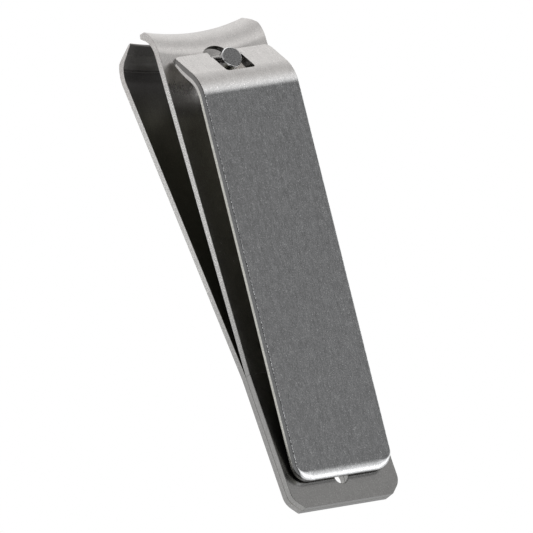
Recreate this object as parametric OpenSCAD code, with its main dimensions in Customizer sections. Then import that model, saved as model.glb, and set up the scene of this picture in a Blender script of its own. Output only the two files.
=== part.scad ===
// Wide lever nail clipper in folded position, dimensions in millimetres.
// Everything is drawn in the weld frame: X runs from the rear end to the cutting edges, Y to the left,
// Z up, with the two leaves meeting on Z = 0. at_rest() then lays the whole clipper on its table.

/* [Leaves] */
// width of both leaves
jaw_width = 18.7; // [12:0.1:22]
// rear end to the corners of the cutting edges
jaw_length = 74.5; // [50:0.5:90]
// thickness of each leaf
leaf_thickness = 1.15; // [0.8:0.05:1.6]
// length over which the leaves are welded together at the rear
weld_length = 21.2; // [12:0.1:30]
// angle of each leaf to the weld plane, jaws sprung open
spread_angle = 5.44; // [3:0.01:8]
// gap between the cutting edges, jaws sprung open
mouth_gap = 3.0; // [1.5:0.1:4]
// corner cut at the rear end of the leaves
rear_corner = 1.7; // [0.5:0.1:3]
// radius between that corner cut and the side
rear_corner_radius = 2.5; // [1:0.1:4]

/* [Cutting ends] */
// outer radius of the curl behind the cutting edge
curl_radius = 4.2; // [3:0.1:6]
// angle that the curl turns through
curl_angle = 62.5; // [45:0.5:80]
// radius of the concave cutting edge, seen from above
edge_radius = 33; // [15:1:60]
// height of the ground front face of the upper jaw
upper_face = 1.3; // [0.3:0.05:1.5]
// height of the ground front face of the lower jaw
lower_face = 0.55; // [0.3:0.05:1.5]
// flat left on the cutting edge
edge_land = 0.2; // [0.1:0.05:0.5]
// angle of the inner grind behind the land
grind_angle = 35; // [20:1:50]
// corner cut beside the cutting edge, across the jaw
front_corner_width = 0.78; // [0:0.02:2]
// corner cut beside the cutting edge, along the jaw
front_corner_depth = 1.6; // [0:0.1:3]

/* [Holes in the leaves] */
// diameter of the key ring hole
ring_hole_diameter = 2.3; // [2:0.1:5]
// key ring hole centre from the rear end
ring_hole_x = 3.9; // [3:0.05:8]
// diameter of the rounded slot that the post passes through in the upper jaw
slot_diameter = 5.2; // [4:0.1:8]
// distance between the two end centres of that slot
slot_travel = 1.7; // [0:0.1:2]
// slot's front end centre, from the rear end of the leaves
slot_front_x = 67.2; // [50:0.1:80]

/* [Post] */
// diameter of the shank and head
post_diameter = 3.2; // [2:0.1:5]
// height of the head's face above the table
post_top = 15.15; // [10:0.1:20]
// distance of the post's axis from the lever's pivot axis
post_setback = 0.6; // [0.3:0.05:1]
// radial clearance of the post in the lower jaw, and of the pivot bar in the notch
running_clearance = 0.06; // [0.02:0.01:0.1]
// chamfer round the top of the head
head_chamfer = 0.16; // [0.05:0.01:0.4]
// largest diameter of the countersunk foot
foot_diameter = 4.6; // [4:0.1:6]
// height of the foot's flat underside above the table
foot_lift = 0.22; // [0.1:0.01:0.5]

/* [Lever] */
// width of the lever
lever_width = 16.7; // [10:0.1:20]
// thickness of the lever
lever_thickness = 1.5; // [1:0.1:2]
// rear end of the lever's underside, from the rear end of the leaves
lever_rear_x = 3.7; // [0:0.1:10]
// gap between the lever's rear end and the upper jaw
lever_rear_gap = 0.2; // [0.1:0.05:1]
// length of the flat plate
plate_length = 57.5; // [40:0.5:70]
// angle of the plate to the weld plane
plate_angle = 8.87; // [4:0.01:15]
// outer radius of the bend between plate and foot
bend_radius = 5.3; // [3:0.1:8]
// slope of the foot, downwards to the front
foot_angle = 39; // [25:0.5:60]
// length of the foot from the bend to its upper front edge
foot_length = 5.15; // [3:0.05:8]
// height of the foot's upright front face
foot_front_height = 1.0; // [0.5:0.1:2]
// corner radius at the rear of the plate
plate_corner_radius = 2.6; // [1:0.1:4]
// corner radius at the front of the foot
foot_corner_radius = 1.0; // [0.2:0.1:3]

/* [Window and pivot bar] */
// width of the window that the post's head shows through
window_width = 4.9; // [4:0.1:7]
// upper front edge of the foot to the window's rear wall
window_reach = 5.65; // [4:0.05:7]
// corner radius of the window
window_corner_radius = 0.4; // [0.1:0.1:1]
// side of the pivot bar's rounded square section
bar_size = 1.25; // [1:0.05:2]
// corner radius of that section
bar_corner_radius = 0.4; // [0.1:0.05:0.6]
// how far the bar is set back from the foot's front edge
bar_setback = 0.85; // [0:0.05:2]

/* [Hidden] */
$fn = 64;

steel = [0.66, 0.65, 0.63];
lever_steel = [0.45, 0.45, 0.46];
post_steel = [0.75, 0.75, 0.76];

margin = 1;                       // how far a cutting solid runs past what it cuts
half_width = jaw_width / 2;
edge_half = half_width - front_corner_width;

// The cutting edge's corner in the leaf frame: origin on the line where the leaves part, X along the leaf's
// inner face, Z towards its outer face.
arm_run = jaw_length - weld_length;
tip_x = arm_run * cos(spread_angle) + mouth_gap / 2 * sin(spread_angle);
tip_z = mouth_gap / 2 * cos(spread_angle) - arm_run * sin(spread_angle);
closed_angle = atan2(-tip_z, tip_x);   // from a leaf's inner face to the plane where the edges meet
edge_gap = 0.04;                  // left between the two edges when the jaws are closed

// The curl is turned about an upright axis in front of the edge, which makes the edge concave.
turn_x = tip_x + sqrt(edge_radius * edge_radius - edge_half * edge_half);
function flank_drop(face) = leaf_thickness - curl_radius * (1 - cos(curl_angle)) - tip_z - face;
// radius at which the curl leaves the flat leaf, for a ground front face of the given height
function curl_start(face) =
    edge_radius + flank_drop(face) / tan(curl_angle) + curl_radius * sin(curl_angle);
inner_radius = curl_radius - leaf_thickness;
slab_end = turn_x - curl_start(lower_face) - margin;
annulus_radius = margin + sqrt(pow(turn_x - slab_end, 2) + half_width * half_width);
section_depth = margin - tip_z;   // how far the section reaches below the leaf's inner face
curl_room = 2 * curl_radius;      // length that holds a whole curl

// Resting attitude: the rear end's lower edge and the two sides of the lower curl touch the table.
belly_x = turn_x - sqrt(pow(curl_start(lower_face), 2) - half_width * half_width);
belly_run = weld_length + belly_x * cos(spread_angle) - leaf_thickness * sin(spread_angle);
belly_drop = belly_x * sin(spread_angle) + leaf_thickness * cos(spread_angle) - leaf_thickness;
rest_tilt = atan2(belly_drop, belly_run);

// A point of the weld frame as [x, z] above the table, before the clipper is centred.
function tabled(x, z) = [
    x * cos(rest_tilt) - (z + leaf_thickness) * sin(rest_tilt),
    x * sin(rest_tilt) + (z + leaf_thickness) * cos(rest_tilt)
];
front_z = tip_z + lower_face;     // far edge of the lower jaw's ground face, leaf frame
rear_end = tabled(0, leaf_thickness)[0];
front_end = tabled(weld_length + tip_x * cos(spread_angle) - front_z * sin(spread_angle),
                   -tip_x * sin(spread_angle) - front_z * cos(spread_angle))[0];
centre_x = (rear_end + front_end) / 2;

// Lever: centre of the bend, then the foot's upper front edge and the pivot bar's axis in the weld frame.
lever_rear_z = leaf_thickness + lever_rear_gap;
bend_inner = bend_radius - lever_thickness;
bend_x = lever_rear_x + plate_length * cos(plate_angle) + bend_inner * sin(plate_angle);
bend_z = lever_rear_z + plate_length * sin(plate_angle) - bend_inner * cos(plate_angle);
foot_x = bend_x + bend_radius * sin(foot_angle) + foot_length * cos(foot_angle);
foot_z = bend_z + bend_radius * cos(foot_angle) - foot_length * sin(foot_angle);
bar_back = bar_setback + bar_size / 2;
bar_x = foot_x - bar_back * cos(foot_angle) - bar_size / 2 * sin(foot_angle);
bar_z = foot_z + bar_back * sin(foot_angle) - bar_size / 2 * cos(foot_angle);
bevel_start_height = 0.6;         // of the foot's underside bevel, above its upper front edge
bar_sink = 0.25;                  // length of each end of the pivot bar inside the window's wall
bar_reach = bar_corner_radius + sqrt(2) * (bar_size / 2 - bar_corner_radius);

// Post, upright on the table.
pivot = tabled(bar_x, bar_z);
post_x = pivot[0] - post_setback - centre_x;
post_radius = post_diameter / 2;
notch_half = bar_reach + running_clearance;
cone_height = (foot_diameter - post_diameter) / 2;

module at_rest() {
    translate([-centre_x, 0, 0])
        rotate([0, -rest_tilt, 0])
            translate([0, 0, leaf_thickness])
                children();
}

// A flat shape drawn in X and Z, given a thickness across Y.
module across(width) {
    rotate([90, 0, 0])
        linear_extrude(height = width, center = true)
            children();
}

// The curl's cross-section: radius from the turning axis, then height in the leaf frame.
module curl_section(start) {
    difference() {
        intersection() {
            union() {
                hook_outline(start, curl_radius, leaf_thickness);
                translate([start, leaf_thickness - curl_radius])
                    circle(r = curl_radius);
            }
            translate([edge_radius, -section_depth])
                square([annulus_radius - edge_radius, section_depth + leaf_thickness]);
        }
        hook_outline(start, inner_radius, 0);
        translate([start, -inner_radius])
            circle(r = inner_radius);
        inner_grind();
    }
}

// Everything behind a curl of the given radius whose top lies at the given height.
module hook_outline(start, radius, top) {
    tangent = [start - radius * sin(curl_angle), top - radius * (1 - cos(curl_angle))];
    depth = 2 * section_depth;
    drop = tangent[1] + depth;
    polygon([
        [annulus_radius + margin, top],
        [start, top],
        tangent,
        [tangent[0] - drop / tan(curl_angle), -depth],
        [annulus_radius + margin, -depth]
    ]);
}

module inner_grind() {
    reach = 3;
    land_back = edge_radius + edge_land;
    polygon([
        [land_back, tip_z],
        [land_back + reach * cos(grind_angle), tip_z + reach * sin(grind_angle)],
        [land_back + reach * cos(grind_angle), -2 * section_depth],
        [land_back, -2 * section_depth]
    ]);
}

// One springing leaf in the leaf frame, from the parting line to its cutting edge.
module leaf(face) {
    difference() {
        intersection() {
            union() {
                translate([0, -half_width, 0])
                    cube([slab_end, jaw_width, leaf_thickness]);
                translate([turn_x, 0, 0])
                    rotate_extrude()
                        curl_section(curl_start(face));
            }
            translate([0, 0, -section_depth])
                linear_extrude(height = section_depth + leaf_thickness)
                    leaf_outline();
        }
        // the edges are ground to meet on one plane
        rotate([0, closed_angle, 0])
            translate([tip_x - curl_room, -jaw_width, -jaw_width + edge_gap / 2])
                cube([2 * curl_room, 2 * jaw_width, jaw_width]);
    }
}

module leaf_outline() {
    polygon([
        [-margin, -half_width],
        [tip_x - front_corner_depth, -half_width],
        [tip_x, -edge_half],
        [tip_x, edge_half],
        [tip_x - front_corner_depth, half_width],
        [-margin, half_width]
    ]);
}

// The rear ends of the leaves, between two heights of the weld frame.
module weld_block(bottom) {
    difference() {
        translate([0, 0, bottom])
            linear_extrude(height = leaf_thickness)
                weld_outline();
        translate([ring_hole_x, 0, bottom - margin])
            cylinder(d = ring_hole_diameter, h = leaf_thickness + 2 * margin);
    }
}

// The welded ends seen from above: a 45 degree cut at each rear corner, rounded into the side.
module weld_outline() {
    tangent = rear_corner_radius * tan(22.5);
    start = rear_corner + tangent;
    shift = tangent / sqrt(2);
    polygon([
        [0, rear_corner - half_width],
        [rear_corner - shift, shift - half_width],
        [start, -half_width],
        [weld_length, -half_width],
        [weld_length, half_width],
        [start, half_width],
        [rear_corner - shift, half_width - shift],
        [0, half_width - rear_corner]
    ]);
    for (s = [-1, 1])
        translate([start, s * (half_width - rear_corner_radius)])
            circle(r = rear_corner_radius);
}

// The post's outline of revolution, grown by a clearance: countersunk foot, then the shank up to a height.
module post_solid(clearance, top) {
    radius = post_radius + clearance;
    translate([post_x, 0, foot_lift])
        cylinder(r1 = radius + cone_height, r2 = radius, h = cone_height);
    translate([post_x, 0, foot_lift])
        cylinder(r = radius, h = top - foot_lift);
}

module lower_jaw() {
    color(steel)
        difference() {
            at_rest()
                union() {
                    weld_block(-leaf_thickness);
                    translate([weld_length, 0, 0])
                        mirror([0, 0, 1])
                            rotate([0, -spread_angle, 0])
                                leaf(lower_face);
                }
            post_solid(running_clearance, post_top / 2);
            translate([post_x, 0, -margin])
                cylinder(r = post_radius + running_clearance + cone_height, h = margin + foot_lift);
        }
}

module upper_jaw_tail() {
    color(steel)
        at_rest()
            weld_block(0);
}

module upper_jaw() {
    color(steel)
        at_rest()
            difference() {
                translate([weld_length, 0, 0])
                    rotate([0, -spread_angle, 0])
                        leaf(upper_face);
                translate([weld_length - 3 * margin, -jaw_width, -jaw_width])
                    cube([3 * margin, 2 * jaw_width, 2 * jaw_width]);
                translate([slot_front_x, 0, 0])
                    post_slot();
            }
}

// Rounded slot through the upper jaw, square to the weld plane.
module post_slot() {
    height = 2 * jaw_width;
    cylinder(d = slot_diameter, h = height);
    translate([-slot_travel, 0, 0])
        cylinder(d = slot_diameter, h = height);
    translate([-slot_travel, -slot_diameter / 2, 0])
        cube([slot_travel, slot_diameter, height]);
}

module post() {
    color(post_steel)
        difference() {
            union() {
                post_solid(0, post_top - head_chamfer);
                translate([post_x, 0, post_top - head_chamfer])
                    cylinder(r1 = post_radius, r2 = post_radius - head_chamfer, h = head_chamfer);
            }
            // the notch that holds the lever's pivot bar
            translate([pivot[0] - centre_x - notch_half, -jaw_width / 2, pivot[1] - notch_half])
                cube([jaw_width, jaw_width, 2 * notch_half]);
        }
}

// Side view of the lever: plate, bend and foot.
module lever_side() {
    difference() {
        translate([bend_x, bend_z])
            difference() {
                bend_outline(bend_radius, 0);
                bend_outline(bend_inner, margin);
            }
        foot_trim();
    }
}

// A point given along a line through the bend's centre and out from it, the line turned by an angle.
function turned(angle, along, out) = [
    along * cos(angle) - out * sin(angle),
    along * sin(angle) + out * cos(angle)
];

// Everything under a face that runs along plate, bend and foot, with the bend's radius given.
module bend_outline(radius, extra) {
    depth = 2 * bend_radius + extra;
    foot_run = foot_length + lever_thickness + extra;
    circle(r = radius);
    polygon([
        turned(plate_angle, -plate_length - extra, -depth),
        turned(plate_angle, -plate_length - extra, radius),
        turned(plate_angle, 0, radius),
        turned(-foot_angle, 0, radius),
        turned(-foot_angle, foot_run, radius),
        turned(-foot_angle, foot_run, -depth)
    ]);
}

// Cuts the foot's front face upright and thins its underside towards it.
module foot_trim() {
    bevel_start = [foot_x - 2 * lever_thickness, foot_z + bevel_start_height];
    polygon([
        [foot_x, foot_z + lever_thickness],
        [foot_x, foot_z - foot_front_height],
        bevel_start,
        [bevel_start[0], foot_z - 3 * lever_thickness],
        [foot_x + 3 * lever_thickness, foot_z - 3 * lever_thickness],
        [foot_x + 3 * lever_thickness, foot_z + lever_thickness]
    ]);
}

// The lever seen from above, with rounded corners.
module lever_outline() {
    rear_x = lever_rear_x - lever_thickness * sin(plate_angle);
    side = lever_width / 2;
    for (s = [-1, 1]) {
        translate([rear_x + plate_corner_radius, s * (side - plate_corner_radius)])
            circle(r = plate_corner_radius);
        translate([foot_x - foot_corner_radius, s * (side - foot_corner_radius)])
            circle(r = foot_corner_radius);
    }
    translate([rear_x, plate_corner_radius - side])
        square([foot_x - rear_x - foot_corner_radius, lever_width - 2 * plate_corner_radius]);
    translate([rear_x + plate_corner_radius, -side])
        square([foot_x - foot_corner_radius - rear_x - plate_corner_radius, lever_width]);
    translate([foot_x / 2, foot_corner_radius - side])
        square([foot_x / 2, lever_width - 2 * foot_corner_radius]);
}

// Places children in the foot's own frame: X back along the foot from its upper front edge, Z out of its face.
module on_foot() {
    translate([foot_x, 0, foot_z])
        rotate([0, foot_angle, 0])
            mirror([1, 0, 0])
                children();
}

module window() {
    side = window_width / 2;
    corner = window_corner_radius;
    on_foot()
        translate([0, 0, -2 * lever_thickness])
            linear_extrude(height = 4 * lever_thickness)
                union() {
                    translate([-2 * lever_thickness, -side])
                        square([2 * lever_thickness + window_reach - corner, window_width]);
                    translate([0, corner - side])
                        square([window_reach, window_width - 2 * corner]);
                    for (s = [-1, 1])
                        translate([window_reach - corner, s * (side - corner)])
                            circle(r = corner);
                }
}

module pivot_bar() {
    flat = bar_size - 2 * bar_corner_radius;
    on_foot()
        translate([bar_back, 0, -bar_size / 2])
            across(window_width + 2 * bar_sink)
                union() {
                    square([bar_size, flat], center = true);
                    square([flat, bar_size], center = true);
                    for (x = [-1, 1], z = [-1, 1])
                        translate([x * flat / 2, z * flat / 2])
                            circle(r = bar_corner_radius);
                }
}

module lever() {
    color(lever_steel)
        at_rest()
            union() {
                difference() {
                    intersection() {
                        across(lever_width)
                            lever_side();
                        linear_extrude(height = jaw_width)
                            lever_outline();
                    }
                    window();
                }
                pivot_bar();
            }
}

lower_jaw();
upper_jaw_tail();
upper_jaw();
post();
lever();
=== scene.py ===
"""Wide lever nail clipper: finished leaves, post and lever in place of the plain CAD solids."""

import math

import bmesh
import bpy
import numpy as np
from mathutils import Matrix, Vector


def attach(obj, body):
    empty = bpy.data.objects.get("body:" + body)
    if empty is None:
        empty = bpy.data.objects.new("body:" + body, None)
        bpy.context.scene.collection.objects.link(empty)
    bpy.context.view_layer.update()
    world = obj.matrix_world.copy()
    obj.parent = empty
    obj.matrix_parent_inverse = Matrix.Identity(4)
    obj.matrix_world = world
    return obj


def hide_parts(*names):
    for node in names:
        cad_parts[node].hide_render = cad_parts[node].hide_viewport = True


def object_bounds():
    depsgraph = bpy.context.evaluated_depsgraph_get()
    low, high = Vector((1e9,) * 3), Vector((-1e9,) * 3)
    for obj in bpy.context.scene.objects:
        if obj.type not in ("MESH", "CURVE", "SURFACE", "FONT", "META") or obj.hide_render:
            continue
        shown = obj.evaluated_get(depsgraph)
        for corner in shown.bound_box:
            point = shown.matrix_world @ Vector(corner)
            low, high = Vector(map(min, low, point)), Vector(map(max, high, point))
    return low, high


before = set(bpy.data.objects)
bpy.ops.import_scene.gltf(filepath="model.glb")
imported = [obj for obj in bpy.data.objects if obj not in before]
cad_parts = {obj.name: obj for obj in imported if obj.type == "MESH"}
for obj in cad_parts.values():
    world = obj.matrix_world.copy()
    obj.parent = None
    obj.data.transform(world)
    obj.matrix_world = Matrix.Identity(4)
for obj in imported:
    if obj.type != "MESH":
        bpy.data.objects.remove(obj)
cad_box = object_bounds()

# ---------------------------------------------------------------- sizes, in millimetres, as in part.scad
MM = 0.001
HALF_WIDTH = 9.35
LEAF = 1.15
WELD_LENGTH = 21.2
SPREAD = math.radians(5.44)
MOUTH_GAP = 3.0
JAW_LENGTH = 74.5
REAR_CORNER = 1.7
REAR_CORNER_RADIUS = 2.5
RING_HOLE_X = 3.9
RING_HOLE_RADIUS = 1.15
REST_TILT = math.radians(3.78846)
CENTRE_X = 37.09625
CURL_RADIUS = 4.2
CURL_ANGLE = math.radians(62.5)
EDGE_RADIUS = 33.0
EDGE_LAND = 0.2
EDGE_GAP = 0.04
GRIND_ANGLE = math.radians(35)
CORNER_WIDTH = 0.78
CORNER_DEPTH = 1.6
FACE = {"upper_jaw": 1.3, "lower_jaw": 0.55}

ARM = JAW_LENGTH - WELD_LENGTH
TIP_X = ARM * math.cos(SPREAD) + MOUTH_GAP / 2 * math.sin(SPREAD)
TIP_Z = MOUTH_GAP / 2 * math.cos(SPREAD) - ARM * math.sin(SPREAD)
CLOSED_ANGLE = math.atan2(-TIP_Z, TIP_X)
EDGE_HALF = HALF_WIDTH - CORNER_WIDTH
TURN_X = TIP_X + math.sqrt(EDGE_RADIUS**2 - EDGE_HALF**2)

# weld frame to row frame, both in millimetres
# the leaves are turned from the weld frame about the parting line
WELD = (
    Matrix.Translation((-CENTRE_X, 0, 0))
    @ Matrix.Rotation(-REST_TILT, 4, "Y")
    @ Matrix.Translation((0, 0, LEAF))
)
PARTING = Matrix.Translation((WELD_LENGTH, 0, 0))
OPENED = Matrix.Rotation(-SPREAD, 4, "Y")
FLIP = Matrix.Scale(-1, 4, (0, 0, 1))
LEAF_FRAME = {
    "upper_jaw": WELD @ PARTING @ OPENED,
    "lower_jaw": WELD @ PARTING @ FLIP @ OPENED,
}
SLOT_FRONT_X = 67.2
SLOT_TRAVEL = 1.7
SLOT_RADIUS = 2.6
COLUMNS = 37
CURL_STEPS = 22
EDGE_BEVEL = 0.07
# the fine ridge left on the curl's inner face where the edge's grinding begins
CREASE_ANGLE = math.radians(34.3)
CREASE_HALF = math.radians(1.1)
CREASE_HEIGHT = 0.03


# ---------------------------------------------------------------- mesh helpers
def new_object(name, points, faces):
    mesh = bpy.data.meshes.new(name)
    mesh.from_pydata([tuple(p) for p in points], [], faces)
    mesh.validate()
    obj = bpy.data.objects.new(name, mesh)
    bpy.context.scene.collection.objects.link(obj)
    work = bmesh.new()
    work.from_mesh(mesh)
    bmesh.ops.remove_doubles(work, verts=work.verts, dist=1e-5)
    bmesh.ops.recalc_face_normals(work, faces=work.faces)
    work.to_mesh(mesh)
    work.free()
    return obj


def apply_modifiers(obj):
    graph = bpy.context.evaluated_depsgraph_get()
    mesh = bpy.data.meshes.new_from_object(obj.evaluated_get(graph))
    obj.modifiers.clear()
    obj.data = mesh
    return obj


def bevel(obj, width, segments, limit):
    mod = obj.modifiers.new("edges", "BEVEL")
    mod.width = width
    mod.segments = segments
    mod.limit_method = "ANGLE"
    mod.angle_limit = math.radians(limit)
    mod.use_clamp_overlap = False
    mod.miter_outer = "MITER_ARC"
    return apply_modifiers(obj)


def cut(obj, cutter):
    mod = obj.modifiers.new("cut", "BOOLEAN")
    mod.operation = "DIFFERENCE"
    mod.solver = "EXACT"
    mod.object = cutter
    apply_modifiers(obj)
    bpy.data.objects.remove(cutter)
    return obj


def prism(name, outline, bottom, top, matrix):
    """A straight-sided solid on an outline of (x, y) points."""
    count = len(outline)
    points = [matrix @ Vector((x, y, z)) for z in (bottom, top) for x, y in outline]
    faces = [tuple(range(count)), tuple(range(2 * count - 1, count - 1, -1))]
    faces += [(i, (i + 1) % count, count + (i + 1) % count, count + i) for i in range(count)]
    return new_object(name, points, faces)


def turned_solid(name, profile, matrix, steps=96):
    """A solid of revolution about Z from (radius, z) points, closed on the axis at both ends."""
    points, faces = [], []
    for r, z in profile:
        for k in range(steps):
            a = 2 * math.pi * k / steps
            points.append(matrix @ Vector((r * math.cos(a), r * math.sin(a), z)))
    for i in range(len(profile) - 1):
        for k in range(steps):
            n = (k + 1) % steps
            faces.append((i * steps + k, i * steps + n, (i + 1) * steps + n, (i + 1) * steps + k))
    faces.append(tuple(range(steps)))
    last = (len(profile) - 1) * steps
    faces.append(tuple(range(last + steps - 1, last - 1, -1)))
    return new_object(name, points, faces)


def skin(name, outer, inner, front):
    """A strip's closed skin: rows of its outer and inner faces, then the rows across its front end.

    Every row has the same number of points, from one side to the other.
    """
    rows = outer + front + inner[::-1]
    width = len(rows[0])
    points = [p for row in rows for p in row]
    faces = []
    for i in range(len(rows)):
        n = (i + 1) % len(rows)
        for j in range(width - 1):
            faces.append((i * width + j, i * width + j + 1, n * width + j + 1, n * width + j))
    # side walls
    total = len(rows)
    for side in (0, width - 1):
        for i in range(len(outer) - 1):
            ring = (i, i + 1, total - 2 - i, total - 1 - i)
            faces.append(tuple(k * width + side for k in ring))
        end = list(range(len(outer) - 1, len(outer) + len(front) + 1))
        faces.append(tuple(k * width + side for k in end))
    return new_object(name, points, faces)


# ---------------------------------------------------------------- leaves
def curl_start(face):
    drop = LEAF - CURL_RADIUS * (1 - math.cos(CURL_ANGLE)) - TIP_Z - face
    return EDGE_RADIUS + drop / math.tan(CURL_ANGLE) + CURL_RADIUS * math.sin(CURL_ANGLE)


def side_at(x):
    """Half the leaf's width at a distance from the parting line, narrowed by the corner cuts."""
    beyond = max(0.0, x - (TIP_X - CORNER_DEPTH))
    return HALF_WIDTH - CORNER_WIDTH * beyond / CORNER_DEPTH


def arc_row(r, z):
    """Points across the leaf on a circle about the turning axis; z may depend on x."""
    half = HALF_WIDTH
    for _ in range(12):
        half = side_at(TURN_X - math.sqrt(r * r - half * half))
    row = []
    for j in range(COLUMNS):
        y = half * (2 * j / (COLUMNS - 1) - 1)
        x = TURN_X - math.sqrt(r * r - y * y)
        row.append(Vector((x, y, z)))
    return row


def straight_row(x, z, half=HALF_WIDTH):
    return [Vector((x, half * (2 * j / (COLUMNS - 1) - 1), z)) for j in range(COLUMNS)]


def edge_rows():
    """The cutting edge's front and back lines, on the plane where the two edges meet."""
    slope = math.tan(CLOSED_ANGLE)
    lift = EDGE_GAP / 2 / math.cos(CLOSED_ANGLE)
    front = arc_row(EDGE_RADIUS, 0)
    for p in front:
        p.z = lift - p.x * slope
    back = []
    for p in front:
        r, y = EDGE_RADIUS + EDGE_LAND, p.y
        for _ in range(8):
            x = TURN_X - math.sqrt(r * r - y * y)
            z = lift - x * slope
            r = EDGE_RADIUS + EDGE_LAND + (z - TIP_Z) / math.tan(GRIND_ANGLE)
        back.append(Vector((x, y, z)))
    return front, back


def grind_meets_inner(start):
    """(radius, z) where the inner grind runs out on the curl's inner face."""
    inner = CURL_RADIUS - LEAF
    t = Vector((start - inner * math.sin(CURL_ANGLE), -inner * (1 - math.cos(CURL_ANGLE))))
    d = Vector((-math.cos(CURL_ANGLE), -math.sin(CURL_ANGLE)))
    c = Vector((EDGE_RADIUS + EDGE_LAND, TIP_Z))
    g = Vector((math.cos(GRIND_ANGLE), math.sin(GRIND_ANGLE)))
    # t + a d = c + b g
    det = d.x * -g.y + g.x * d.y
    a = ((c.x - t.x) * -g.y + g.x * (c.y - t.y)) / det
    return t + a * d


def leaf_rows(face, rear_outer, rear_inner):
    """Rows of a leaf's outer and inner face in the leaf frame, and the rows across its front end."""
    start = curl_start(face)
    inner = CURL_RADIUS - LEAF
    outer_rows, inner_rows = [rear_outer], [rear_inner]
    for x in (9.0, 18.0, 27.0, 36.0):
        outer_rows.append(straight_row(x, LEAF))
        inner_rows.append(straight_row(x, 0))
    for ahead in (4.0, 2.0, 0.8):
        outer_rows.append(arc_row(start + ahead, LEAF))
        inner_rows.append(arc_row(start + ahead, 0))
    turns = [(CURL_ANGLE * i / CURL_STEPS, 0.0) for i in range(CURL_STEPS + 1)]
    turns += [
        (CREASE_ANGLE - CREASE_HALF, 0.0),
        (CREASE_ANGLE, CREASE_HEIGHT),
        (CREASE_ANGLE + CREASE_HALF, 0.0),
    ]
    for a, ridge in sorted(turns):
        outer_rows.append(arc_row(start - CURL_RADIUS * math.sin(a), LEAF - CURL_RADIUS * (1 - math.cos(a))))
        r = inner - ridge
        inner_rows.append(arc_row(start - r * math.sin(a), r * math.cos(a) - inner))
    end = grind_meets_inner(start)
    outer_rows.append(arc_row(EDGE_RADIUS, TIP_Z + face))
    inner_rows.append(arc_row(end.x, end.y))
    return outer_rows, inner_rows, list(edge_rows())


def placed(rows, matrix):
    return [[matrix @ p for p in row] for row in rows]


def circle(cx, cy, r, steps=64):
    return [
        (cx + r * math.cos(2 * math.pi * k / steps), cy + r * math.sin(2 * math.pi * k / steps))
        for k in range(steps)
    ]


def weld_rows(top, bottom, last):
    """Rows over the welded ends, between two heights of the weld frame."""
    tangent = REAR_CORNER_RADIUS * math.tan(math.pi / 8)
    start = REAR_CORNER + tangent
    plan = [(0.0, HALF_WIDTH - REAR_CORNER)]
    for i in range(9):
        a = math.pi / 4 * (1 - i / 8)
        x = start - REAR_CORNER_RADIUS * math.sin(a)
        plan.append((x, HALF_WIDTH - REAR_CORNER_RADIUS * (1 - math.cos(a))))
    plan += [(x, HALF_WIDTH) for x in (6.0, 11.0, 16.0, last)]
    return [[straight_row(x, z, half) for x, half in plan] for z in (top, bottom)]


def upper_jaw():
    face = FACE["upper_jaw"]
    rear = LEAF * math.tan(SPREAD)
    outer, inner, front = leaf_rows(face, straight_row(rear, LEAF), straight_row(0, 0))
    m = LEAF_FRAME["upper_jaw"]
    obj = skin("upper_leaf", placed(outer, m), placed(inner, m), placed(front, m))
    outline = []
    for k in range(65):
        a = -math.pi / 2 + math.pi * k / 64
        outline.append((SLOT_FRONT_X + SLOT_RADIUS * math.cos(a), SLOT_RADIUS * math.sin(a)))
    for k in range(65):
        a = math.pi / 2 + math.pi * k / 64
        x = SLOT_FRONT_X - SLOT_TRAVEL + SLOT_RADIUS * math.cos(a)
        outline.append((x, SLOT_RADIUS * math.sin(a)))
    return cut(obj, prism("slot_cutter", outline, 0.5, 12, WELD))


def upper_tail():
    top, bottom = weld_rows(LEAF, 0, WELD_LENGTH)
    obj = skin("upper_leaf_weld", placed(top, WELD), placed(bottom, WELD), [])
    return cut(obj, prism("hole_cutter", circle(RING_HOLE_X, 0, RING_HOLE_RADIUS), -1, 3, WELD))


POST_X = 28.46376
POST_RADIUS = 1.6
POST_TOP = 15.15
HEAD_CHAMFER = 0.16
POST_BEVEL = 0.06
PIVOT = Vector((29.06376, 0, 13.33253))
FOOT_LIFT = 0.22
FOOT_RADIUS = 2.3
CLEARANCE = 0.06


def lower_jaw():
    face = FACE["lower_jaw"]
    knee = WELD_LENGTH - LEAF * math.tan(SPREAD / 2)
    outer, inner = weld_rows(-LEAF, 0, knee)
    inner[-1] = straight_row(WELD_LENGTH, 0)
    leaf_outer, leaf_inner, front = leaf_rows(face, [], [])
    m = LEAF_FRAME["lower_jaw"]
    outer = placed(outer, WELD) + placed(leaf_outer[1:], m)
    inner = placed(inner, WELD) + placed(leaf_inner[1:], m)
    obj = skin("lower_leaf", outer, inner, placed(front, m))
    cut(obj, prism("hole_cutter", circle(RING_HOLE_X, 0, RING_HOLE_RADIUS), -3, 1, WELD))
    cone = FOOT_RADIUS - POST_RADIUS
    r = POST_RADIUS + CLEARANCE
    profile = [(r + cone, -1), (r + cone, FOOT_LIFT), (r, FOOT_LIFT + cone), (r, 6)]
    return cut(obj, turned_solid("post_cutter", profile, Matrix.Translation((POST_X, 0, 0))))


# ---------------------------------------------------------------- lever
LEVER_HALF = 8.35
LEVER = 1.5
LEVER_REAR_X = 3.7
LEVER_REAR_Z = LEAF + 0.2
PLATE_LENGTH = 57.5
PLATE_ANGLE = math.radians(8.87)
BEND_RADIUS = 5.3
BEND_INNER = BEND_RADIUS - LEVER
FOOT_ANGLE = math.radians(39)
FOOT_LENGTH = 5.15
FOOT_FRONT = 1.0
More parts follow.
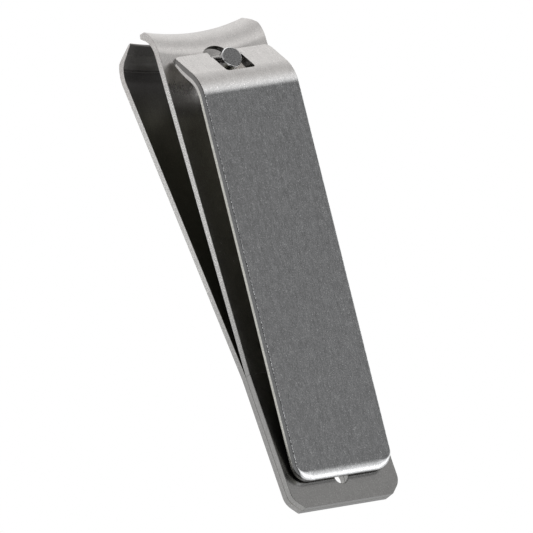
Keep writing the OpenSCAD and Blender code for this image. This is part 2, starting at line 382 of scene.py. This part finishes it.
# how far above the foot's upper front edge the line of its lower slope passes, two thicknesses behind it
FOOT_SLOPE_RISE = 0.6
PLATE_CORNER = 2.6
FOOT_CORNER = 1.0
EDGE_WEAR = 0.25
REAR_WEAR = 1.5
EDGE_DROP = 0.75
LOWER_RIM = 0.22
WINDOW_HALF = 2.45
WINDOW_REACH = 5.65
WINDOW_CORNER = 0.4
BAR = 1.25
BAR_CORNER = 0.4
BAR_SETBACK = 0.85
# points round each rear corner of the lever's outline
REAR_POINTS = 19
RIM_STEPS = 10

BEND_X = LEVER_REAR_X + PLATE_LENGTH * math.cos(PLATE_ANGLE) + BEND_INNER * math.sin(PLATE_ANGLE)
BEND_Z = LEVER_REAR_Z + PLATE_LENGTH * math.sin(PLATE_ANGLE) - BEND_INNER * math.cos(PLATE_ANGLE)
FOOT_X = BEND_X + BEND_RADIUS * math.sin(FOOT_ANGLE) + FOOT_LENGTH * math.cos(FOOT_ANGLE)
FOOT_Z = BEND_Z + BEND_RADIUS * math.cos(FOOT_ANGLE) - FOOT_LENGTH * math.sin(FOOT_ANGLE)


def turned(angle, along, out):
    """A point of the lever's side view, on a line through the bend's centre turned by an angle."""
    return (
        BEND_X + along * math.cos(angle) - out * math.sin(angle),
        BEND_Z + along * math.sin(angle) + out * math.cos(angle),
    )


BEND_RUN = BEND_RADIUS * (PLATE_ANGLE + FOOT_ANGLE)


def foot_underside():
    """Where the foot's underside turns towards its front face, and how far along the foot that is."""
    low = Vector((FOOT_X, FOOT_Z - FOOT_FRONT))
    slope = Vector((FOOT_X - 2 * LEVER, FOOT_Z + FOOT_SLOPE_RISE)) - low
    out = Vector((math.sin(FOOT_ANGLE), math.cos(FOOT_ANGLE)))
    base = Vector(turned(-FOOT_ANGLE, 0, BEND_INNER))
    knee = low + slope * ((base - low).dot(out) / slope.dot(out))
    along = (knee.x - BEND_X) * math.cos(FOOT_ANGLE) - (knee.y - BEND_Z) * math.sin(FOOT_ANGLE)
    return knee, low, along


def lever_point(run, across, height):
    """A point of the flat lever blank, wrapped round the bend. Run 0 is where plate and bend meet."""
    if run <= 0:
        x, z = turned(PLATE_ANGLE, run, BEND_INNER + height)
    elif run <= BEND_RUN:
        x, z = turned(PLATE_ANGLE - run / BEND_RADIUS, 0, BEND_INNER + height)
    else:
        knee, low, knee_along = foot_underside()
        along = run - BEND_RUN
        top = Vector(turned(-FOOT_ANGLE, along, BEND_RADIUS))
        under = Vector(turned(-FOOT_ANGLE, along, BEND_INNER))
        if along > knee_along:
            under = knee.lerp(low, (along - knee_along) / (FOOT_LENGTH - knee_along))
        x, z = under.lerp(top, height / LEVER)
    return Vector((x, across, z))


def lever_outline():
    """One side of the blank from rear to front: run, half width and the outward direction there."""
    points = []
    rear, front = -PLATE_LENGTH, BEND_RUN + FOOT_LENGTH
    for i in range(REAR_POINTS):
        a = math.pi / 36 * i
        u = rear + PLATE_CORNER * (1 - math.cos(a))
        points.append((u, LEVER_HALF - PLATE_CORNER * (1 - math.sin(a)), -math.cos(a), math.sin(a)))
    runs = [-0.75 * PLATE_LENGTH, -0.5 * PLATE_LENGTH, -0.25 * PLATE_LENGTH, -2.0]
    runs += [BEND_RUN * i / 36 for i in range(37)]
    runs += [BEND_RUN + 1.2, BEND_RUN + 2.4]
    points += [(u, LEVER_HALF, 0.0, 1.0) for u in runs]
    for i in range(10):
        a = math.pi / 18 * i
        u = front - FOOT_CORNER / math.cos(FOOT_ANGLE) * (1 - math.sin(a))
        points.append((u, LEVER_HALF - FOOT_CORNER * (1 - math.cos(a)), math.sin(a), math.cos(a)))
    return points


def lever():
    outline = lever_outline()
    loops = []

    def add_loop(inset, height):
        loop = []
        for side, order in ((1, outline), (-1, outline[::-1])):
            for u, half, ou, ov in order:
                d = inset(ou)
                loop.append(WELD @ lever_point(u - ou * d, side * (half - ov * d), height))
        loops.append(loop)

    # the upper rim is worn round and wide, widest at the rear; the lower rim is only broken
    wide = lambda ou: EDGE_WEAR + (REAR_WEAR - EDGE_WEAR) * max(0.0, -ou) ** 2
    for i in range(RIM_STEPS + 1):
        a = math.pi / 2 * i / RIM_STEPS
        add_loop(lambda ou: wide(ou) * (1 - math.sin(a)), LEVER - EDGE_DROP * (1 - math.cos(a)))
    for i in range(5):
        a = math.pi / 8 * i
        add_loop(lambda ou: LOWER_RIM * (1 - math.cos(a)), LOWER_RIM * (1 - math.sin(a)))
    count, half = len(loops[0]), len(outline)
    points = [p for loop in loops for p in loop]
    faces = []
    for k in range(len(loops) - 1):
        for i in range(count):
            n = (i + 1) % count
            faces.append((k * count + i, k * count + n, (k + 1) * count + n, (k + 1) * count + i))
    for base in (0, (len(loops) - 1) * count):
        # one face over the flat rear end, where the rounding's start is bowed, then bands across the strip
        mirrored = range(count - REAR_POINTS, count)
        faces.append(tuple(base + i for i in [*range(REAR_POINTS), *mirrored]))
        for i in range(REAR_POINTS - 1, half - 1):
            faces.append((base + i, base + i + 1, base + count - 2 - i, base + count - 1 - i))
    obj = new_object("lever_strip", points, faces)
    foot = WELD @ Matrix.Translation((FOOT_X, 0, FOOT_Z)) @ Matrix.Rotation(FOOT_ANGLE, 4, "Y")
    side, corner = WINDOW_HALF, WINDOW_CORNER
    outline_cut = [(2 * LEVER, -side), (2 * LEVER, side)]
    for cy, first in ((side - corner, math.pi / 2), (corner - side, math.pi)):
        for k in range(9):
            a = first + math.pi / 2 * k / 8
            outline_cut.append((corner - WINDOW_REACH + corner * math.cos(a), cy + corner * math.sin(a)))
    cut(obj, prism("window_cutter", outline_cut, -2 * LEVER, 2 * LEVER, foot))
    return bevel(obj, EDGE_BEVEL, 3, 40)


def pivot_bar():
    foot = WELD @ Matrix.Translation((FOOT_X, 0, FOOT_Z)) @ Matrix.Rotation(FOOT_ANGLE, 4, "Y")
    flat = BAR / 2 - BAR_CORNER
    outline = []
    for q, (sx, sy) in enumerate(((1, 1), (-1, 1), (-1, -1), (1, -1))):
        for k in range(9):
            a = math.pi / 2 * (q + k / 8)
            outline.append((sx * flat + BAR_CORNER * math.cos(a), sy * flat + BAR_CORNER * math.sin(a)))
    centre = Matrix.Translation((-(BAR_SETBACK + BAR / 2), 0, -BAR / 2))
    lying = Matrix.Rotation(math.pi / 2, 4, "X")
    return prism("lever_pivot_bar", outline, -WINDOW_HALF - 0.2, WINDOW_HALF + 0.2, foot @ centre @ lying)


# ---------------------------------------------------------------- post
def post():
    cone = FOOT_RADIUS - POST_RADIUS
    profile = [
        (FOOT_RADIUS, FOOT_LIFT),
        (POST_RADIUS, FOOT_LIFT + cone),
        (POST_RADIUS, POST_TOP - HEAD_CHAMFER),
        (POST_RADIUS - HEAD_CHAMFER, POST_TOP),
    ]
    obj = turned_solid("post_pin", profile, Matrix.Translation((POST_X, 0, 0)))
    reach = BAR_CORNER + math.sqrt(2) * (BAR / 2 - BAR_CORNER) + CLEARANCE
    outline = [(-reach, -4), (6, -4), (6, 4), (-reach, 4)]
    cut(obj, prism("notch_cutter", outline, -reach, reach, Matrix.Translation(PIVOT)))
    return bevel(obj, POST_BEVEL, 3, 30)


pieces = {
    "lower_jaw": lower_jaw(),
    "upper_jaw_tail": upper_tail(),
    "upper_jaw": upper_jaw(),
    "post": post(),
    "lever": lever(),
}
for leaf in ("lower_jaw", "upper_jaw_tail", "upper_jaw"):
    bevel(pieces[leaf], EDGE_BEVEL, 2, 20)
bar = pivot_bar()


# ---------------------------------------------------------------- strip coordinates, for the steel's grain
def leaf_strip(node):
    """(run along the strip, place across it, depth in it) of a leaf's point, in millimetres."""
    start = curl_start(FACE[node])
    inner = CURL_RADIUS - LEAF
    back = LEAF_FRAME[node].inverted()

    def strip(point):
        x, y, z = back @ point
        r = math.hypot(TURN_X - x, y)
        run, depth = TURN_X - r, z
        if r < start and z > -5:
            angle = math.atan2(start - r, z + inner)
            run = TURN_X - start + angle * CURL_RADIUS
            depth = math.hypot(start - r, z + inner) - inner
        return run, y, depth

    return strip


def weld_strip(point):
    x, y, z = WELD.inverted() @ point
    return x - WELD_LENGTH, y, z


def lever_strip(point):
    x, y, z = WELD.inverted() @ point
    dx, dz = x - BEND_X, z - BEND_Z
    angle = min(max(math.atan2(dx, dz), -PLATE_ANGLE), FOOT_ANGLE)
    along = dx * math.cos(angle) - dz * math.sin(angle)
    if -PLATE_ANGLE < angle < FOOT_ANGLE:
        along = 0.0
    depth = dx * math.sin(angle) + dz * math.cos(angle)
    return along + angle * BEND_RADIUS, y, depth - BEND_INNER


def post_strip(point):
    x, y, z = point - Vector((POST_X, 0, 0))
    return x, y, z


STRIP = {
    "lower_jaw": leaf_strip("lower_jaw"),
    "upper_jaw_tail": weld_strip,
    "upper_jaw": leaf_strip("upper_jaw"),
    "post": post_strip,
    "lever": lever_strip,
}


# painted light and shade tones, and the lengths along the strip over which they change
TAIL_SHADE_FADE = 13
TAIL_SHADE_TONE, TAIL_SHADE_TONE_RISE = 0.33, 0.5
SIDE_SHADE_TONE, SIDE_SHADE_TONE_RISE, SIDE_SHADE_FADE = 0.45, 0.35, 25
HEAD_SHADE_TONE, HEAD_NICKS_AND_GLINTS, HEAD_RIM_HIGHLIGHT_TONE = 0.14, 0.3, 1.4
BAR_SHADE_TONE = 0.6


# Each face gets (tone, mill skin, nicks): its tone of painted light and shade, how much of the rolled skin
# is left on it, and how far it is nicked, with painted glints on the nicks. The tones are chosen for the
# camera's view under this studio's light. The inner faces and the lever's underside carry the rolled skin
# and are also painted darker as shade.
def lever_finish_and_painted_light(normal, place):
    run, across, depth = place
    # painted shade under the lever, on the rolled skin
    if normal.z < -0.3 and depth < 0.1:
        return 0.3, 1, 0
    # painted shade on the window's walls
    if run > 0 and abs(across) < WINDOW_HALF + 0.02 and 0.1 < depth < LEVER - 0.1:
        return 0.3, 0, 0
    # painted shade on the rear wall
    if normal.x < -0.92:
        return 0.58, 0, 0
    # side walls: painted shade, light on the lower part with some rolled skin's colour, deep on the upper
    # part
    if abs(normal.y) > 0.6:
        return (0.75, 0.4, 0) if depth < LEVER - EDGE_DROP else (0.25, 0, 0)
    # the rim's nicks, with painted glints
    if abs(normal.y) > 0.05 and abs(across) > LEVER_HALF - EDGE_WEAR - 0.02:
        return 1.0, 0, 1
    return 1.0, 0, 0


def leaf_finish_and_painted_light(node):
    """The inner faces carry the rolled skin and painted shade between the leaves. The sides and rear faces
    get painted shade, the crease a painted highlight, and the welded end's upper face painted shade that
    brightens towards the front.
    """
    inward = -1 if node != "lower_jaw" else 1
    crease = TURN_X - curl_start(FACE.get(node, 1)) + CREASE_ANGLE * CURL_RADIUS

    def finish_and_painted_light(normal, place):
        run, _, depth = place
        # painted shade on the sides, lighter towards the front, where the nicks and their painted glints
        # grow
        if abs(normal.y) > 0.8:
            forward = min(max(run / SIDE_SHADE_FADE, 0.0), 1.0)
            return SIDE_SHADE_TONE + SIDE_SHADE_TONE_RISE * forward, 0, forward
        # painted shade on the rear faces
        if normal.x < -0.6:
            return 0.12 if normal.x < -0.9 else 0.45, 0, 0
        # a painted highlight along the crease
        if abs(run - crease) < 0.06 and depth < 0.1:
            return 1.2, 0, 0
        # painted shade between the leaves, on the rolled skin
        if normal.z * inward > 0:
            return (0.2, 1, 0) if depth < 0.06 else (0.35, 1, 0)
        # painted shade on the welded end's upper face, lighter towards the front
        if node == "upper_jaw_tail":
            forward = min(max(run / TAIL_SHADE_FADE + 1, 0.0), 1.0)
            return TAIL_SHADE_TONE + TAIL_SHADE_TONE_RISE * forward, 0, 0
        return 1.0, 0, 0

    return finish_and_painted_light


def post_finish_and_painted_light(normal, place):
    # painted shade on the head's top face, with nicks and painted glints
    if normal.z > 0.9:
        return HEAD_SHADE_TONE, 0, HEAD_NICKS_AND_GLINTS
    # a painted highlight on the head's chamfer
    return (HEAD_RIM_HIGHLIGHT_TONE if normal.z > 0.3 else 1.0), 0, 0


def bar_painted_shade(normal, place):
    # painted shade on the pivot bar
    return BAR_SHADE_TONE, 0, 0


FINISH_AND_PAINTED_LIGHT = {
    "lower_jaw": leaf_finish_and_painted_light("lower_jaw"),
    "upper_jaw_tail": leaf_finish_and_painted_light("upper_jaw_tail"),
    "upper_jaw": leaf_finish_and_painted_light("upper_jaw"),
    "post": post_finish_and_painted_light,
    "lever": lever_finish_and_painted_light,
}


def finish_mesh(obj, body, material, strip, finish_and_painted_light):
    mesh = obj.data
    mesh.shade_smooth()
    mod = obj.modifiers.new("normals", "WEIGHTED_NORMAL")
    mod.keep_sharp = False
    mod.weight = 80
    apply_modifiers(obj)
    mesh = obj.data
    values = np.array([strip(v.co) for v in mesh.vertices], np.float32)
    attribute = mesh.attributes.new("strip", "FLOAT_VECTOR", "POINT")
    attribute.data.foreach_set("vector", values.ravel())
    # the painted light and shade may fade along the strip, so each face's corners have their own
    rows = []
    for face in mesh.polygons:
        _, across, depth = strip(face.center)
        rows += [finish_and_painted_light(face.normal, (values[i][0], across, depth)) for i in face.vertices]
    for name, column in zip(("painted_light_tone", "mill_skin", "edge_nicks_and_glints"), zip(*rows)):
        mesh.attributes.new(name, "FLOAT", "CORNER").data.foreach_set("value", column)
    mesh.transform(Matrix.Scale(MM, 4))
    mesh.materials.clear()
    mesh.materials.append(material)
    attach(obj, body)


# ---------------------------------------------------------------- materials
MILL_SKIN = (0.66, 0.64, 0.52)
WARM_STEEL = (0.625, 0.605, 0.59)
# the range in which most of a noise texture's values lie
NOISE_LOW, NOISE_HIGH = 0.3, 0.7
FINE_SHARE, BROAD_SHARE = 0.75, 0.25
GLINT_START, GLINT_END, GLINT_STRENGTH = 0.64, 0.70, 3.2
NICK_START, NICK_END = 0.49, 0.55
# the tone the nicks add is a painted glint; their roughness and relief are the nicks' own
NICK_GLINT_TONE, NICK_ROUGHNESS, NICK_RELIEF = 0.4, 0.6, 12.0
SKIN_ROUGHNESS = 0.12
ROUGHNESS_SPREAD = 0.04


class Nodes:
    """A short way to write node trees."""

    def __init__(self, tree):
        self.tree = tree
        tree.nodes.clear()

    def add(self, kind, inputs=None, **settings):
        node = self.tree.nodes.new(kind)
        for key, value in settings.items():
            setattr(node, key, value)
        for key, value in (inputs or {}).items():
            if isinstance(value, bpy.types.NodeSocket):
                self.tree.links.new(value, node.inputs[key])
            else:
                node.inputs[key].default_value = value
        return node

    def math(self, operation, a, b=0.0):
        return self.add("ShaderNodeMath", {0: a, 1: b}, operation=operation).outputs[0]

    def scaled(self, vector, scale):
        return self.add("ShaderNodeMapping", {"Vector": vector, "Scale": scale}).outputs[0]

    def noise(self, vector, scale, detail=4.0, rough=0.6):
        node = self.add(
            "ShaderNodeTexNoise", {"Vector": vector, "Scale": scale, "Detail": detail, "Roughness": rough}
        )
        return node.outputs["Fac"]

    def mixed(self, factor, first, second):
        inputs = {"Factor": factor}
        node = self.add("ShaderNodeMix", inputs, data_type="VECTOR")
        for socket, value in ((4, first), (5, second)):
            if isinstance(value, bpy.types.NodeSocket):
                self.tree.links.new(value, node.inputs[socket])
            else:
                node.inputs[socket].default_value = value
        return node.outputs[1]

    def remap(self, value, low, high, to_low, to_high):
        node = self.add(
            "ShaderNodeMapRange",
            {"Value": value, "From Min": low, "From Max": high, "To Min": to_low, "To Max": to_high},
        )
        return node.outputs[0]


def steel(name, color, rough, grain, streak, grit, bump, front=None):
    """Brushed or ground steel, scaled by each face's painted light and shade tone.

    rough is the roughness. grain is how close the lines lie along and across the strip. streak and grit are
    how much the lines and the pits change the tone; grit also sets the painted glints. front is the strip's
    front part:
    (start, end, color, roughness, share of the pits and painted glints).
    """
    material = bpy.data.materials.new(name)
    material.use_nodes = True
    n = Nodes(material.node_tree)
    strip = n.add("ShaderNodeAttribute", attribute_name="strip").outputs["Vector"]
    finish_and_painted_light = n.add("ShaderNodeAttribute", attribute_name="painted_light_tone").outputs["Fac"]
    skin_left = n.add("ShaderNodeAttribute", attribute_name="mill_skin").outputs["Fac"]
    nicked_and_glinting = n.add("ShaderNodeAttribute", attribute_name="edge_nicks_and_glints").outputs["Fac"]
    fine = n.noise(n.scaled(strip, (grain[0], grain[1], grain[1])), 1.0, 5.0, 0.65)
    broad = n.noise(n.scaled(strip, (grain[0] * 0.4, grain[1] * 0.2, grain[1] * 0.2)), 1.0, 2.0, 0.5)
    cloud = n.noise(strip, 0.6, 4.0, 0.6)
    pits = n.noise(strip, 4.5, 3.0, 0.75)
    dust = n.noise(strip, 7.0, 1.0, 0.5)
    lines = n.math("ADD", n.math("MULTIPLY", fine, FINE_SHARE), n.math("MULTIPLY", broad, BROAD_SHARE))
    tone = n.remap(lines, NOISE_LOW, NOISE_HIGH, 1 - streak, 1 + streak)
    tone = n.math("MULTIPLY", tone, n.remap(cloud, NOISE_LOW, NOISE_HIGH, 0.96, 1.04))
    # sheared sides are pitted more than the faces, and get more painted glints
    depth = n.remap(nicked_and_glinting, 0.0, 1.0, grit, 2 * grit)
    if front:
        run = n.add("ShaderNodeSeparateXYZ", {0: strip}).outputs["X"]
        depth = n.math("MULTIPLY", depth, n.remap(run, front[0], front[1], 1.0, front[4]))
    speckle = n.math("MULTIPLY", n.remap(pits, NOISE_LOW, NOISE_HIGH, -1.0, 1.0), depth)
    # painted glints: sparse bright specks added to the tone
    glints = n.math("MULTIPLY", n.remap(dust, GLINT_START, GLINT_END, 0.0, GLINT_STRENGTH), depth)
    tone = n.math("ADD", tone, n.math("ADD", speckle, glints))
    # the face's painted light and shade tone scales the steel's tone, then the nicks add painted glints
    nicks_and_glints = n.math("MULTIPLY", n.remap(dust, NICK_START, NICK_END, 0.0, 1.0), nicked_and_glinting)
    tone = n.math("ADD", n.math("MULTIPLY", tone, finish_and_painted_light), n.math("MULTIPLY", nicks_and_glints, NICK_GLINT_TONE))
    gloss = n.remap(lines, NOISE_LOW, NOISE_HIGH, rough - ROUGHNESS_SPREAD, rough + ROUGHNESS_SPREAD)
    gloss = n.math("ADD", gloss, n.math("MULTIPLY", skin_left, SKIN_ROUGHNESS))
    gloss = n.math("ADD", gloss, n.math("MULTIPLY", nicks_and_glints, NICK_ROUGHNESS))
    color = n.mixed(skin_left, color, MILL_SKIN)
    if front:
        start, end, front_color, front_rough, _ = front
        color = n.mixed(n.remap(run, start, end, 0.0, 1.0), color, front_color)
        gloss = n.math("ADD", gloss, n.remap(run, start, end, 0.0, front_rough - rough))
    shade = n.add("ShaderNodeVectorMath", {0: color, "Scale": tone}, operation="SCALE").outputs[0]
    height = n.math("ADD", lines, n.math("MULTIPLY", n.math("MULTIPLY", dust, nicked_and_glinting), NICK_RELIEF))
    relief = n.add("ShaderNodeBump", {"Strength": 1.0, "Distance": bump * MM, "Height": height}).outputs[0]
    shader = n.add(
        "ShaderNodeBsdfPrincipled",
        {"Base Color": shade, "Metallic": 1.0, "Roughness": gloss, "Normal": relief},
    )
    n.add("ShaderNodeOutputMaterial", {"Surface": shader.outputs[0]})
    return material


lever_front = (-0.8, 1.5, WARM_STEEL, 0.24, 0.35)
jaw_front = (41.0, 47.0, WARM_STEEL, 0.36, 0.8)
lever_steel = steel(
    "lever_brushed_steel", (0.57, 0.575, 0.582), 0.19, (1.4, 7.0), 0.11, 0.21, 0.0006, lever_front
)
jaw_steel = steel("jaw_ground_steel", (0.625, 0.618, 0.605), 0.24, (1.2, 7.0), 0.11, 0.15, 0.002, jaw_front)
post_steel = steel("post_turned_steel", (0.66, 0.66, 0.665), 0.09, (3.0, 6.0), 0.05, 0.06, 0.001)
MATERIAL = {"post": post_steel, "lever": lever_steel}

for node, obj in pieces.items():
    body = "lower_jaw" if node == "upper_jaw_tail" else node
    finish_mesh(obj, body, MATERIAL.get(node, jaw_steel), STRIP[node], FINISH_AND_PAINTED_LIGHT[node])
    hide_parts(node)
finish_mesh(bar, "lever", lever_steel, lever_strip, bar_painted_shade)


# ---------------------------------------------------------------- studio
# The light tent: degrees from straight up towards +X, and how bright it is there. The bands are set for the
# reflections of the camera's view.
SKY = (
    (-100, 0.35),
    (-84, 1.0),
    (-70, 1.9),
    (-46, 1.9),
    (-32, 1.1),
    (-20, 0.78),
    (-12, 0.50),
    (-8, 0.32),
    (-4, 0.15),
    (0, 0.10),
    (4, 0.37),
    (9, 0.88),
    (15, 1.2),
    (24, 1.14),
    (36, 0.84),
    (50, 0.66),
    (62, 0.68),
    (75, 0.80),
    (90, 0.92),
)


FLOOR_SIZE = 12
FLOOR_DROP = 0.00005


def studio():
    bpy.ops.mesh.primitive_plane_add(size=FLOOR_SIZE)
    floor = bpy.context.object
    floor.name = "floor"
    floor.location.z = cad_box[0][2] - FLOOR_DROP
    material = bpy.data.materials.new("pale_floor")
    material.use_nodes = True
    n = Nodes(material.node_tree)
    glow = n.add("ShaderNodeEmission", {"Color": (1, 1, 1, 1), "Strength": 1.0})
    n.add("ShaderNodeOutputMaterial", {"Surface": glow.outputs[0]})
    floor.data.materials.append(material)

    world = bpy.data.worlds.new("soft_studio")
    bpy.context.scene.world = world
    world.use_nodes = True
    n = Nodes(world.node_tree)
    direction = n.add("ShaderNodeTexCoord").outputs["Generated"]
    axes = n.add("ShaderNodeSeparateXYZ", {0: direction}).outputs
    swing = n.math("ARCTAN2", axes["X"], axes["Z"])
    place = n.remap(swing, -math.pi, math.pi, 0.0, 1.0)
    ramp = n.add("ShaderNodeValToRGB", {"Fac": place})
    elements = ramp.color_ramp.elements
    elements.remove(elements[1])
    elements[0].position = 0
    elements[0].color = (SKY[0][1], SKY[0][1], SKY[0][1], 1)
    for degrees, value in SKY:
        elements.new((degrees + 180) / 360).color = (value, value, value, 1)
    shaded = n.remap(axes["Y"], 0.05, 0.5, 1.0, 0.28)
    sky = n.add("ShaderNodeBackground", {"Color": ramp.outputs["Color"], "Strength": shaded})
    n.add("ShaderNodeOutputWorld", {"Surface": sky.outputs[0]})


studio()


# ---------------------------------------------------------------- camera
# degrees, then millimetres in the row frame, then metres; the lens is in millimetres
CAMERA_ANGLES = (209.35, 51.066, -45.171)
CAMERA_TARGET = (-1.91, 3.063, 8.45)
CAMERA_DISTANCE = 2.88
CAMERA_LENS = 1350.84


def camera():
    azimuth, elevation, roll = (math.radians(a) for a in CAMERA_ANGLES)
    target = Vector(CAMERA_TARGET) * MM
    away = Vector(
        (
            math.sin(azimuth) * math.cos(elevation),
            -math.cos(azimuth) * math.cos(elevation),
            math.sin(elevation),
        )
    )
    up = Vector((0, 0, 1)) - away.z * away
    up.normalize()
    right = (-away).cross(up)
    view_up = up * math.cos(roll) + right * math.sin(roll)
    view_right = (-away).cross(view_up)
    turn = Matrix((view_right, view_up, away)).transposed().to_4x4()
    data = bpy.data.cameras.new("camera")
    data.sensor_width = 36
    data.lens = CAMERA_LENS
    data.clip_start = 0.1
    data.clip_end = 50
    cam = bpy.data.objects.new("camera", data)
    bpy.context.scene.collection.objects.link(cam)
    cam.matrix_world = Matrix.Translation(target + CAMERA_DISTANCE * away) @ turn
    bpy.context.scene.camera = cam


camera()
bpy.context.scene.view_settings.view_transform = "Standard"
